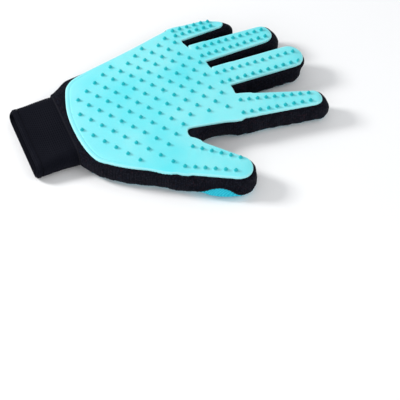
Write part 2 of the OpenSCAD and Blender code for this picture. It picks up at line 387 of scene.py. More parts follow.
def wrist_pinch(x):
    """How far the hand draws in over its last stretch before the cuff."""
    u = np.clip((HAND_END + PINCH_FROM - x) / PINCH_RUN, 0, 1)
    return PINCH * (1 - np.sqrt(1 - u * u))


def pinky_roll(x, y):
    """0 to 1 over the little finger's outer side, which turns in and down at its end."""
    d = DIGITS[-1]
    s, t = d.local(x, y)
    return smooth(s, d.end - ROLL_RUN, d.end - 3) * smooth(t, -4, 5)


def tip_droop(x, y):
    """How far the palm side comes down towards the end of each digit."""
    total = 0
    for d in DIGITS:
        s, t = d.local(x, y)
        on_digit = smooth(REACH[d.name] + 2 - np.abs(t), 0, 2)
        share = np.clip((s - d.end + DROOP_RUN) / DROOP_RUN, 0, 1.1)
        total = total + DROOP[d.name] * on_digit * share**2
    return total + ROLL_DOWN * pinky_roll(x, y)


def thumb_belly(x, y):
    """Where the mesh swells out under the thumb's outer side."""
    return spot(x, y, (15, -100), (19, 13))


def wall_tuck(x, y, z):
    """How far the wall beside the thumb and the middle finger's end tuck in."""
    at_web = spot(x, y, (33, -47), (15, 9))
    finger = DIGITS[2]
    s, t = finger.local(x, y)
    at_tip = smooth(s, finger.end - 14, finger.end - 1) * (np.abs(t) < REACH[finger.name])
    return WEB_TUCK * at_web * smooth(15 - z, 0, 12) + TIP_TUCK * at_tip * smooth(18 - z, 0, 11)


def crown(plan):
    """How far the palm side has swelled at a place inside the outline."""
    return CROWN * (1 - np.exp(-np.maximum(-plan, 0) / CROWN_RUN))


def knit_height(x, y, plan):
    """Height of the cloth that the silicone lies on."""
    depth = np.maximum(-plan, 0)
    edge = np.clip(TOP_ROUND - depth, 0, TOP_ROUND)
    drop = TOP_ROUND - np.sqrt(TOP_ROUND**2 - edge**2)
    return KNIT_TOP + crown(plan) - drop - tip_droop(x, y)


def body_field(x, y, z, plan):
    """About the signed distance to the cloth body's surface."""
    pinch = wrist_pinch(x)
    thumb_share = np.clip(0.5 - y / WRIST_WIDTH, 0, 1)
    draw_in = pinch * (PINCH_OUTER + PINCH_THUMB * thumb_share)
    shoulder = spot(x - HAND_END, y, (6, 41), (9, 9))
    middle = (z - MID_HEIGHT) / MID_HEIGHT
    side = plan + draw_in - SIDE_BULGE * (1 - middle * middle) + wall_tuck(x, y, z)
    side = side - BELLY * thumb_belly(x, y) * (1 - smooth(z, 4, 12))
    side = side + SHOULDER_IN * shoulder
    top = z - KNIT_TOP - crown(plan) + PINCH_TOP * pinch + tip_droop(x, y)
    top = top + SHOULDER_DOWN * shoulder
    bottom = FLOOR_GAP - z + PINCH_BACK * pinch
    at_wrist = smooth(HAND_END + 14 - x, 0, 14)
    upper = round_join(side, top, TOP_ROUND + WRIST_TOP_ROUND * at_wrist)
    whole = round_join(upper, bottom, BACK_ROUND + WRIST_BACK_ROUND * at_wrist)

    # Folds are on the back and fade at its edge. Puckers are everywhere but under the silicone.
    depth = np.maximum(-plan, 0)
    at_back = (1 - smooth(z, 2.5, 8)) * (0.1 + 0.9 * smooth(depth, 0.5, 6))
    folds = knuckle_creases(x, y) + gathers(x, y) + PUFF * (1 + waves(x, y, z, PUFFS))
    under_pad = smooth(z, KNIT_TOP - 4, KNIT_TOP - 1)
    return whole + at_back * folds + (1 - under_pad) * waves(x, y, z, PUCKERS)


def hand_plan(x, y):
    """Signed distance over the table to the fabric's outline."""
    return hand_outline(x, y) + ROLL_IN * pinky_roll(x, y)


def pad_plan(x, y):
    """Signed distance over the table to the silicone's outline."""
    return pad_outline(x, y) + ROLL_IN * pinky_roll(x, y)


# ---- The silicone as a field ----

NUBS = nub_centres()


def nub_distance(x, y):
    """Distance over the table to the nearest silicone tip."""
    x, y = np.broadcast_arrays(x, y)
    flat = np.stack([x.ravel(), y.ravel()], 1)
    best = np.full(len(flat), 99.0)
    for centre in NUBS:
        best = np.minimum(best, np.hypot(*(flat - centre).T))
    return best.reshape(x.shape)


def pad_field(x, y, z, plans):
    """About the signed distance to the silicone, its tips and the groove in its heel."""
    hand, pad, tips = plans
    height = z - knit_height(x, y, hand)
    thick = PAD_TOP - KNIT_TOP
    valley = np.exp(-(((pad + GROOVE_INSET) / GROOVE_WIDTH) ** 2))
    groove = GROOVE_DEPTH * valley * smooth(GROOVE_FROM - x, 0, 15)
    sheet = round_join(pad, height - thick + groove, PAD_RIM)
    tall = NUB_TOP - PAD_TOP
    share = np.clip((height - thick) / tall, -0.3, 1.1)
    cone = (tips - NUB_FOOT - (NUB_END - NUB_FOOT) * share) * NUB_LEAN
    nub = round_join(cone, height - thick - tall, NUB_ROUND)
    return np.maximum(smooth_union(sheet, nub, NUB_FILLET), -PAD_SINK - height)


# ---- Meshes from fields ----


class Shape:
    """Triangles with a normal at each point. Faces listed in flat are shaded flat."""

    def __init__(self, points, normals, faces, flat=None):
        self.points, self.normals, self.faces = points, normals, faces
        self.flat = np.zeros(len(faces), bool) if flat is None else flat

    def compact(self):
        """The same shape without the points that no face uses."""
        used, faces = np.unique(self.faces, return_inverse=True)
        return Shape(self.points[used], self.normals[used], faces.reshape(-1, 3), self.flat)


def gradient(field, plans_at, p):
    """Direction of steepest rise at each point, by small steps both ways."""
    out = np.zeros_like(p)
    for axis in range(3):
        step = np.zeros(3)
        step[axis] = SLOPE_STEP
        up, down = p + step, p - step
        out[:, axis] = field(*up.T, plans_at(*up.T[:2])) - field(*down.T, plans_at(*down.T[:2]))
    return out / (2 * SLOPE_STEP)


def surface(field, plans_at, low, high, step, merge=0.0):
    """The closed surface where the field is 0, with its points moved exactly onto it."""
    x, y, z = (np.arange(a, b, step) for a, b in zip(low, high))
    plans = plans_at(x[:, None], y[None, :])
    spread = tuple(p[:, :, None] for p in plans) if isinstance(plans, tuple) else plans[:, :, None]
    volume = field(x[:, None, None], y[None, :, None], z[None, None, :], spread)
    grid = openvdb.FloatGrid(9.0)
    grid.copyFromArray(np.ascontiguousarray(volume, np.float32))
    points, triangles, quads = grid.convertToPolygons(isovalue=0.0, adaptivity=merge)
    points = points.astype(float) * step + np.array(low)
    for _ in range(3):
        slope = gradient(field, plans_at, points)
        value = field(*points.T, plans_at(*points.T[:2]))
        move = slope * (value / np.maximum((slope**2).sum(1), 0.05))[:, None]
        size = np.linalg.norm(move, axis=1, keepdims=True)
        points = points - move * np.minimum(1, 0.5 * step / np.maximum(size, 1e-9))
    slope = gradient(field, plans_at, points)
    normals = slope / np.maximum(np.linalg.norm(slope, axis=1, keepdims=True), 1e-9)
    faces = np.concatenate([triangles, quads[:, [0, 1, 2]], quads[:, [0, 2, 3]]]).astype(int)
    return Shape(points, normals, faces)


def split(shape, values):
    """Cuts a shape where values cross 0. Returns the part below and the part above."""
    values = np.where(np.abs(values) < SNAP, 0.0, values)
    corner = values[shape.faces]
    below, above = corner.max(1) <= 0, corner.min(1) >= 0
    above &= ~below
    points, normals = list(shape.points), list(shape.normals)
    made, sides = {}, [[], []]
    for face in shape.faces[~(below | above)]:
        for side, sign in ((0, 1), (1, -1)):
            kept = []
            for a, b in zip(face, np.roll(face, -1)):
                va, vb = sign * values[a], sign * values[b]
                if va <= 0:
                    kept.append(a)
                if va * vb < 0:
                    key = (min(a, b), max(a, b))
                    if key not in made:
                        t = values[key[0]] / (values[key[0]] - values[key[1]])
                        made[key] = len(points)
                        points.append(points[key[0]] * (1 - t) + points[key[1]] * t)
                        normal = normals[key[0]] * (1 - t) + normals[key[1]] * t
                        normals.append(normal / np.linalg.norm(normal))
                    kept.append(made[key])
            sides[side] += [[kept[0], kept[i], kept[i + 1]] for i in range(1, len(kept) - 1)]
    points, normals = np.array(points), np.array(normals)
    parts = []
    for whole, extra in ((below, sides[0]), (above, sides[1])):
        faces = np.concatenate([shape.faces[whole], np.array(extra, int).reshape(-1, 3)])
        flat = np.r_[shape.flat[whole], np.zeros(len(extra), bool)]
        parts.append(Shape(points, normals, faces, flat).compact())
    return parts


def open_edges(faces):
    """Directed edges that only one face uses."""
    edges = np.concatenate([faces[:, [0, 1]], faces[:, [1, 2]], faces[:, [2, 0]]])
    known = {(int(a), int(b)) for a, b in edges}
    return [(a, b) for a, b in known if (b, a) not in known]


def open_loops(faces):
    """The closed lines of points round a sheet's edges."""
    follow = {}
    for a, b in open_edges(faces):
        follow.setdefault(a, []).append(b)
    loops = []
    while follow:
        loop = [min(follow)]
        while True:
            nexts = follow[loop[-1]]
            step = nexts.pop()
            if not nexts:
                del follow[loop[-1]]
            if step == loop[0]:
                break
            loop.append(step)
        loops.append(loop)
    return loops


def thicken(shape, thickness):
    """A closed shell from an open sheet, with its second face inside."""
    n = len(shape.points)
    points = np.concatenate([shape.points, shape.points - shape.normals * thickness])
    normals = np.concatenate([shape.normals, -shape.normals])
    walls = []
    for a, b in sorted(open_edges(shape.faces)):
        walls += [[b, a, a + n], [b, a + n, b + n]]
    walls = np.array(walls, int).reshape(-1, 3)
    faces = np.concatenate([shape.faces, shape.faces[:, ::-1] + n, walls])
    flat = np.r_[np.zeros(2 * len(shape.faces), bool), np.ones(len(walls), bool)]
    return Shape(points, normals, faces, flat)


def cap(shape):
    """Closes the flat holes that a cut left in a solid."""
    extra = []
    for loop in open_loops(shape.faces):
        if len(loop) < 3:
            continue
        corners = [Vector(shape.points[i]) for i in loop]
        for a, b, c in geometry.tessellate_polygon([corners]):
            extra.append([loop[a], loop[b], loop[c]])
    extra = np.array(extra, int).reshape(-1, 3)
    known = set(open_edges(shape.faces))
    for k, (a, b, c) in enumerate(extra):
        if {(a, b), (b, c), (c, a)} & known:
            extra[k] = [a, c, b]
    faces = np.concatenate([shape.faces, extra])
    flat = np.r_[shape.flat, np.ones(len(extra), bool)]
    return Shape(shape.points, shape.normals, faces, flat)


def swept(rings, closed=True):
    """A grid of points, ring after ring, as triangles that join each ring to the next."""
    count, size = rings.shape[:2]
    faces = []
    for i in range(count if closed else count - 1):
        for j in range(size):
            a, b = i * size + j, i * size + (j + 1) % size
            c, d = (i + 1) % count * size + (j + 1) % size, (i + 1) % count * size + j
            faces += [[a, b, c], [a, c, d]]
    return rings.reshape(-1, 3), np.array(faces)


def smooth_normals(points, faces):
    """Each point's normal, as the mean of the faces round it by their area."""
    a, b, c = (points[faces[:, k]] for k in range(3))
    cross = np.cross(b - a, c - a)
    total = np.zeros_like(points)
    for k in range(3):
        np.add.at(total, faces[:, k], cross)
    return total / np.maximum(np.linalg.norm(total, axis=1, keepdims=True), 1e-12)


def joined(shapes):
    """Several shapes as one."""
    points, normals, faces, flat, start = [], [], [], [], 0
    for s in shapes:
        points.append(s.points)
        normals.append(s.normals)
        faces.append(s.faces + start)
        flat.append(s.flat)
        start += len(s.points)
    return Shape(*(np.concatenate(part) for part in (points, normals, faces, flat)))


# ---- Pieces ----


def added(name, data):
    """A new object in the scene."""
    made = bpy.data.objects.new(name, data)
    bpy.context.scene.collection.objects.link(made)
    return made


def make_piece(name, shape, material, nodes):
    """A Blender object with the shape's own normals, in place of CAD nodes."""
    shape = shape.compact()
    mesh = bpy.data.meshes.new(name)
    mesh.vertices.add(len(shape.points))
    mesh.vertices.foreach_set("co", (shape.points * MM).astype(np.float32).ravel())
    mesh.loops.add(len(shape.faces) * 3)
    mesh.loops.foreach_set("vertex_index", shape.faces.astype(np.int32).ravel())
    mesh.polygons.add(len(shape.faces))
    starts = np.arange(0, len(shape.faces) * 3, 3, dtype=np.int32)
    mesh.polygons.foreach_set("loop_start", starts)
    mesh.update(calc_edges=True)
    mesh.polygons.foreach_set("use_smooth", np.ones(len(shape.faces), bool))
    a, b, c = (shape.points[shape.faces[:, k]] for k in range(3))
    face_normals = np.cross(b - a, c - a)
    face_normals /= np.maximum(np.linalg.norm(face_normals, axis=1, keepdims=True), 1e-12)
    corners = shape.normals[shape.faces].copy()
    corners[shape.flat] = face_normals[shape.flat][:, None, :]
    mesh.normals_split_custom_set(corners.reshape(-1, 3).astype(np.float32))
    mesh.materials.append(material)
    piece = added(name, mesh)
    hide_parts(*nodes)
    return piece


def digit_pieces(shapes, kind, material, hand_nodes, layer):
    """A layer's pieces: one that rides the hand, and two on each digit."""
    made = []
    for (owner, part), shape in shapes.items():
        if owner == "hand":
            piece = make_piece(f"hand_{kind}", shape, material, hand_nodes)
            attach(piece, "hand")
        else:
            name, node = f"{owner}_{part}_{kind}", f"{owner}_{part}_{layer}"
            piece = make_piece(name, shape, material, [node])
            bend_digit(piece, next(d for d in DIGITS if d.name == owner), part)
        made.append(piece)
    return made


def bend_digit(piece, digit, part):
    """Bakes a digit piece's place into its mesh. Its bend, hand to base for the lower piece and
    base to tip for the end piece, is worked out but not used.
    """
    if part == "base":
        start, end = digit.root, digit.cut
    else:
        start, end = digit.cut, 2 * digit.span - digit.cut
    digit.place(start) * MM
    digit.place(end) * MM
    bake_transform(piece)


def by_digit(shape):
    """Splits a shape into the hand's part and each digit's lower and end part."""
    parts = {}
    for d in DIGITS:
        s, t = d.local(*shape.points.T[:2])
        inside, shape = split(shape, np.maximum(d.root - s, np.abs(t) - REACH[d.name]))
        s, _ = d.local(*inside.points.T[:2])
        parts[d.name, "base"], parts[d.name, "tip"] = split(inside, s - d.cut)
    parts["hand", ""] = shape
    return parts


# ---- Materials ----


class Paint:
    """A node material in the making. Lengths given to it are in millimetres."""

    def __init__(self, name):
        self.material = bpy.data.materials.new(name)
        self.material.use_nodes = True
        self.tree = self.material.node_tree
        self.tree.nodes.clear()
        self.shader = self.node("BsdfPrincipled")
        self.set(self.node("OutputMaterial"), "Surface", self.shader.outputs[0])
        self.place = self.node("TexCoord").outputs["Object"]

    def node(self, kind, inputs=None, **settings):
        made = self.tree.nodes.new("ShaderNode" + kind)
        for key, value in settings.items():
            setattr(made, key, value)
        for key, value in (inputs or {}).items():
            self.set(made, key, value)
        return made

    def set(self, node, key, value):
        """Links a node's input to another's output, or gives it a plain value."""
        socket = node.inputs[key]
        if isinstance(value, bpy.types.NodeSocket):
            self.tree.links.new(value, socket)
        else:
            socket.default_value = value

    def finish(self, **inputs):
        """The material, with these inputs on its shader."""
        for key, value in inputs.items():
            self.set(self.shader, key.replace("_", " "), value)
        return self.material

    def math(self, operation, a, b):
        return self.node("Math", {0: a, 1: b}, operation=operation).outputs[0]

    def noise(self, size, detail, roughness=0.55):
        inputs = {"Vector": self.place, "Scale": 1000 / size}
        inputs.update(Detail=detail, Roughness=roughness)
        return self.node("TexNoise", inputs).outputs["Fac"]

    def cells(self, size, randomness):
        inputs = {"Vector": self.place, "Scale": 1000 / size, "Randomness": randomness}
        return self.node("TexVoronoi", inputs).outputs["Distance"]

    def range(self, value, low, high, to_low=0.0, to_high=1.0):
        inputs = {"Value": value, "From Min": low, "From Max": high}
        inputs.update({"To Min": to_low, "To Max": to_high})
        return self.node("MapRange", inputs).outputs["Result"]

    def mix(self, share, a, b):
        """Colour a where the share is 0, and b where it is 1."""
        made = self.node("Mix", data_type="RGBA")
        for key, value in ((0, share), (6, a), (7, b)):
            self.set(made, key, (*value, 1) if isinstance(value, tuple) else value)
        return made.outputs[2]

    def tint(self, colour, share, strength, other):
        """A colour that another tints by its share, and by the strength at the most."""
        return self.mix(self.math("MULTIPLY", share, strength), colour, other)

    def attribute(self, name):
        return self.node("Attribute", attribute_name=name).outputs["Fac"]

    def bumps(self, *layers):
        """A normal for layers of bumps, each a height, its depth and its strength."""
        normal = None
        for height, depth, strength in layers:
            inputs = {"Height": height, "Distance": depth * MM, "Strength": strength}
            if normal is not None:
                inputs["Normal"] = normal
            normal = self.node("Bump", inputs).outputs["Normal"]
        return normal

    def along(self, direction):
        """Distance along a direction, in metres."""
        product = self.node("VectorMath", {0: self.place, 1: direction}, operation="DOT_PRODUCT")
        return product.outputs["Value"]

    def stripes(self, direction, pitch):
        """A wave from -1 to 1 along a direction."""
        turn = self.math("MULTIPLY", self.along(direction), 2 * math.pi / (pitch * MM))
        return self.math("SINE", turn, 0)


BLACK_SHEEN = {"Sheen_Roughness": 0.5, "Sheen_Tint": (0.5, 0.5, 0.7, 1)}


def silicone():
    p = Paint("silicone")
    clouds = p.range(p.noise(44, 2), 0.36, 0.64)
    colour = p.mix(clouds, (0.13, 0.745, 0.81), (0.245, 0.79, 0.83))
    # Painted highlight: the silicone is painted lighter towards the heel, at the wrist's end.
    heel = p.range(p.along((1, 0, 0)), -0.068, -0.02, 0.4, 0.0)
    colour = p.mix(heel, colour, (0.36, 0.81, 0.86))
    speckle = p.range(p.noise(1.4, 2), 0.62, 0.75)
    colour = p.tint(colour, speckle, 0.15, (0.42, 0.84, 0.86))
    # Painted shade: the tips are painted dark teal, fading in over the lowest third of their
    # height, where the cones shade themselves, with some of the deeper tone of the thicker
    # silicone.
    tip = p.attribute("tip")
    colour = p.mix(p.range(tip, 0.0, 0.3), colour, (0.001, 0.44, 0.485))
    # Painted highlight: the top of each tip is tinted a lighter teal, as if lit.
    colour = p.tint(colour, p.range(tip, 0.85, 1.0), 0.3, (0.03, 0.52, 0.55))
    colour = p.tint(colour, p.attribute("rim"), 0.5, (0.46, 0.86, 0.88))
    return p.finish(
        Base_Color=colour,
        Roughness=p.range(p.noise(6, 4), 0.3, 0.7, 0.38, 0.52),
        Subsurface_Weight=0.22,
        Subsurface_Radius=(0.3, 1.0, 1.0),
        Subsurface_Scale=0.0012,
        Specular_IOR_Level=0.35,
        Normal=p.bumps((p.noise(0.9, 3), 0.05, 0.5), (p.noise(9, 2), 0.25, 0.35)),
    )


def black_knit():
    p = Paint("black_knit")
    loops = p.cells(1.5, randomness=0.45)
    yarn = p.range(loops, 0.0, 0.6, 1.0, 0.0)
    colour = p.mix(p.math("MULTIPLY", yarn, 0.8), (0.002, 0.0024, 0.0052), (0.0105, 0.0112, 0.020))
    red = p.range(p.noise(2.3, 2), 0.58, 0.7)
    colour = p.tint(colour, red, 0.5, (0.024, 0.009, 0.014))
    blue = p.range(p.noise(3.1, 2, 0.7), 0.6, 0.72)
    colour = p.tint(colour, blue, 0.5, (0.008, 0.013, 0.028))
    worn = p.range(p.noise(17, 3), 0.5, 0.8)
    colour = p.tint(colour, worn, 0.3, (0.011, 0.012, 0.019))
    cloth = p.bumps((yarn, 0.55, 0.8), (p.noise(0.5, 3), 0.12, 0.4))
    return p.finish(
        Base_Color=colour,
        Roughness=p.range(yarn, 0.0, 1.0, 0.95, 0.72),
        Sheen_Weight=0.025,
        **BLACK_SHEEN,
        Specular_IOR_Level=0.08,
        Normal=cloth,
    )


def blue_mesh():
    p = Paint("blue_mesh")
    one = p.stripes((0.71, 0.71, 0.71), 1.5)
    two = p.stripes((0.71, -0.71, 0.71), 1.5)
    weave = p.math("MULTIPLY", one, two)
    dots = p.range(weave, -0.4, 1.0)
    colour = p.mix(dots, (0.004, 0.46, 0.66), (0.045, 0.70, 0.83))
    holes = p.range(weave, -1.0, -0.55, 1.0, 0.0)
    colour = p.tint(colour, holes, 0.55, (0.002, 0.25, 0.42))
    clouds = p.range(p.noise(24, 3), 0.3, 0.7)
    colour = p.tint(colour, clouds, 0.2, (0.08, 0.76, 0.86))
    # Painted shade: the mesh is painted a darker blue in its creases and gathers.
    colour = p.tint(colour, p.attribute("fold"), 0.6, (0.001, 0.33, 0.55))
    cloth = p.bumps((weave, 0.28, 0.8), (p.noise(0.6, 3), 0.1, 0.4))
    return p.finish(
        Base_Color=colour,
        Roughness=p.range(dots, 0.0, 1.0, 0.85, 0.6),
        Sheen_Weight=0.12,
        Sheen_Roughness=0.4,
        Sheen_Tint=(0.6, 0.95, 1.0, 1),
        Specular_IOR_Level=0.2,
        Normal=cloth,
    )


def rib_knit():
    p = Paint("rib_knit")
    stitches = p.math("MULTIPLY", p.stripes((0, 1, 1), 1.1), p.stripes((1, 0, 0), 1.5))
    lit = p.range(stitches, -1.0, 1.0)
    colour = p.mix(lit, (0.0018, 0.0022, 0.0045), (0.0055, 0.006, 0.0115))
    lint = p.range(p.noise(1.1, 2), 0.68, 0.78)
    colour = p.tint(colour, lint, 0.25, (0.025, 0.026, 0.034))
    fade = p.range(p.noise(21, 2), 0.45, 0.75)
    colour = p.tint(colour, fade, 0.3, (0.008, 0.0085, 0.014))
    cloth = p.bumps((stitches, 0.22, 0.7), (p.noise(0.45, 3), 0.12, 0.4))
    return p.finish(
        Base_Color=colour,
        Roughness=p.range(lit, 0.0, 1.0, 0.95, 0.78),
        Sheen_Weight=0.02,
        **BLACK_SHEEN,
        Specular_IOR_Level=0.07,
        Normal=cloth,
    )


def black_thread():
    p = Paint("black_thread")
    strands = p.stripes((0.8, 0.6, 0.5), 0.5)
    colour = p.mix(p.range(strands, -1, 1), (0.0025, 0.0027, 0.005), (0.011, 0.011, 0.018))
    return p.finish(
        Base_Color=colour,
        Roughness=p.range(strands, -1, 1, 0.7, 0.5),
        Sheen_Weight=0.03,
        Sheen_Tint=(0.6, 0.6, 0.8, 1),
        Specular_IOR_Level=0.15,
        Normal=p.bumps((strands, 0.12, 0.7)),
    )


def studio_floor():
    p = Paint("studio_floor")
    colour = p.mix(p.range(p.noise(300, 2), 0.3, 0.7), (0.93, 0.93, 0.93), (0.95, 0.95, 0.95))
    return p.finish(Base_Color=colour, Roughness=0.8, Specular_IOR_Level=0.2)


SILICONE = silicone()
KNIT = black_knit()
MESH = blue_mesh()
RIB = rib_knit()
THREAD = black_thread()


def paint_points(piece, name, values):
    """Keeps a value at each point of a piece, for its material to read."""
    attribute = piece.data.attributes.new(name, "FLOAT", "POINT")
    attribute.data.foreach_set("value", np.asarray(values, np.float32))


def piece_points(piece):
    """A piece's points in millimetres, as x, y and z."""
    co = np.zeros(len(piece.data.vertices) * 3)
    piece.data.vertices.foreach_get("co", co)
    return co.reshape(-1, 3).T / MM


# ---- The cloth body ----


body_box = (HAND_END - 5, -110, -3.7), (130, 76, 25)
body = surface(body_field, hand_plan, *body_box, BODY_STEP)
body = split(body, HAND_END + 0.2 - body.points[:, 0])[0]


def seam_height(x, y):
    """Height of the seam. Well inside the outline it is above the mesh, folds and all."""
    depth = -hand_plan(x, y) - 1.6 * wrist_pinch(x)
    near_end = smooth(HAND_END + 9 - x, 0, 7)
    inside = SEAM_LIFT * smooth(depth - 3.5 * near_end, 4.5, 8) - SEAM_DIP * near_end
    uneven = inside + SEAM_HEIGHT + 0.3 * np.sin(x / 9) + 0.25 * np.sin(y / 7)
    return uneven + 8 * thumb_belly(x, y)


back_sheet, knit_sheet = split(body, body.points[:, 2] - seam_height(*body.points.T[:2]))

HAND_KNIT = [
    "palm_knit", "pinky_side_strip", "thumb_side_strip", "thumb_web_strip",
    "index_middle_web", "middle_ring_web", "ring_pinky_web",
]


def cloth_shells(sheet, thickness):
    return {key: thicken(part, thickness) for key, part in by_digit(sheet).items()}


back_shells = cloth_shells(back_sheet, MESH_THICK)
knit_shells = cloth_shells(knit_sheet, KNIT_THICK)
for piece in digit_pieces(back_shells, "mesh_back", MESH, ["back_mesh"], "back"):
    x, y, _ = piece_points(piece)
    # Painted shade for the mesh's creases and gathers, kept at each point for its material.
    painted_fold_shade = 0.6 * knuckle_creases(x, y) + 0.6 * gathers(x, y) - 0.1
    paint_points(piece, "fold", np.clip(painted_fold_shade, 0, 1))
digit_pieces(knit_shells, "knit_side", KNIT, HAND_KNIT, "knit")

# ---- The silicone sheet ----


def pad_plans(x, y):
    """Distances to the fabric's outline, the silicone's, and the nearest tip."""
    return hand_plan(x, y), pad_plan(x, y), nub_distance(x, y)


pad_box = (HAND_END - 1, -107, KNIT_TOP - 3.1), (129, 72, NUB_TOP + 3.5)
pad = surface(pad_field, pad_plans, *pad_box, PAD_STEP, PAD_MERGE)
pad_solids = {key: cap(part) for key, part in by_digit(pad).items()}
for piece in digit_pieces(pad_solids, "silicone", SILICONE, ["palm_pad"], "pad"):
    x, y, z = piece_points(piece)
    hand, edge, tips = pad_plans(x, y)
    above = z - knit_height(x, y, hand) - (PAD_TOP - KNIT_TOP)
    # The share of a tip's height, which the silicone reads for its painted shade and painted
    # highlight on the tips.
    on_tip = np.clip(above / (NUB_TOP - PAD_TOP), 0, 1)
    paint_points(piece, "tip", np.where(tips < NUB_FOOT + NUB_FILLET, on_tip, 0))
    paint_points(piece, "rim", smooth(edge, -1.4, -0.4))

# ---- The cuff ----

BAND_LOW, BAND_HIGH = (np.array(c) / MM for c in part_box("cuff_band"))
HEM_LOW, HEM_HIGH = (np.array(c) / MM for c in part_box("cuff_hem"))
CUFF_WIDTH = BAND_HIGH[1] - BAND_LOW[1]
CUFF_HEIGHT = BAND_HIGH[2]


def oval(width, height):
    """Evenly spaced points round a flattened ring, as y and z about its middle."""
    radius = height / 2
    straight = width - height
    half_turn = math.pi * radius
    around = 2 * straight + 2 * half_turn
    at = np.arange(CUFF_POINTS) * around / CUFF_POINTS
    y, z = np.zeros(CUFF_POINTS), np.zeros(CUFF_POINTS)
    for i, d in enumerate(at):
        if d < straight:
            y[i], z[i] = straight / 2 - d, radius
        elif d < straight + half_turn:
            a = (d - straight) / radius
            y[i], z[i] = -straight / 2 - radius * math.sin(a), radius * math.cos(a)
        elif d < 2 * straight + half_turn:
            y[i], z[i] = -straight / 2 + d - straight - half_turn, -radius
        else:
            a = (d - 2 * straight - half_turn) / radius
            y[i], z[i] = straight / 2 + radius * math.sin(a), -radius * math.cos(a)
    return y, z


def cuff_ring(x, inset):
    """One ring of the cuff at a place along the arm, drawn in by an inset."""
    along = (BAND_HIGH[0] - x) / (BAND_HIGH[0] - HEM_LOW[0])
    height = CUFF_HEIGHT - CUFF_SAG * smooth(along, 0.1, 1.0)
    width = CUFF_WIDTH - 1.2 * smooth(along, 0, 0.3) + 1.0 * smooth(along, 0.5, 1.0)
    y, z = oval(width - 2 * inset, height - 2 * inset)
    upper = smooth(z, -2, 5)
    hollow = HOLLOW * smooth(along, 0, 0.6) * np.cos(math.pi * y / width) ** 2
    ripple = RIPPLE * np.sin(y / 6.3 + x / 11) * np.sin(x / 7.7 + 1)
    back = x + CUFF_SKEW * smooth(along, 0.4, 1.0) * smooth(z, -4, 6)
    return np.stack([back, y, height / 2 + z - upper * (hollow + ripple)], 1)


def cuff_blend(piece):
    """Bakes the place of a piece between hand and cuff into its mesh. It is not bent round the
    wrist's hinge.
    """
    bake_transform(piece)


def cuff_piece(name, node, outer, inner, rim=()):
    """A tube of rib knit, whose section is lines of pairs of x and inset."""
    rings = np.array([cuff_ring(x, inset) for x, inset in [*outer, *rim, *inner]])
    points, faces = swept(rings)
    shape = Shape(points, smooth_normals(points, faces), faces)
    cuff_blend(make_piece(name, shape, RIB, [node]))


def ribbed(start, end, inset):
    """A ribbed line along the arm, as pairs of x and inset."""
    steps = int(round((start - end) / CUFF_STEP))
    xs = np.linspace(start, end, steps)
    return [(x, inset - RIB_DEPTH * math.cos(2 * math.pi * x / RIB_PITCH)) for x in xs]


tuck, fold, mouth = BAND_HIGH[0] + CUFF_TUCK, HEM_HIGH[0], HEM_LOW[0]
band_outer = ribbed(tuck, fold + 0.2, 0.3)
band_inner = [(x, CUFF_THICK) for x in np.linspace(fold + 0.4, tuck, 24)]
cuff_piece("cuff_rib_band", "cuff_band", band_outer, band_inner)

hem_outer = [(fold - 0.1, 0.9), (fold - 0.35, 0.35)] + ribbed(fold - 0.6, mouth + 1.9, 0.15)
hem_rim = [
    (mouth + 1.45, 0.18), (mouth + 1.15, 0.45), (mouth + 1.1, 0.8), (mouth + 1.3, 1.05),
    (mouth + 1.2, 1.2), (mouth + 0.5, 1.2), (mouth + 0.12, 1.4), (mouth, 1.75),
    (mouth + 0.12, 2.15), (mouth + 0.5, 2.35),
]
hem_inner = [(x, 2.4) for x in np.linspace(mouth + 1.0, fold - 0.1, 8)]
cuff_piece("cuff_folded_hem", "cuff_hem", hem_outer, hem_inner, hem_rim)

# ---- Seams and stitches ----


def unit(v):
    """Vectors at length 1."""
    return v / np.maximum(np.linalg.norm(v, axis=-1, keepdims=True), 1e-9)


def evenly(line, pitch):
    """A closed line, eased, with its points evenly spaced."""
    for _ in range(3):
        line = (np.roll(line, 1, axis=0) + 2 * line + np.roll(line, -1, axis=0)) / 4
    ring = np.vstack([line, line[:1]])
    at = np.r_[0, np.cumsum(np.linalg.norm(np.diff(ring, axis=0), axis=1))]
    count = int(at[-1] / pitch)
    where = np.arange(count) * at[-1] / count
    return np.stack([np.interp(where, at, ring[:, k]) for k in range(3)], axis=1)


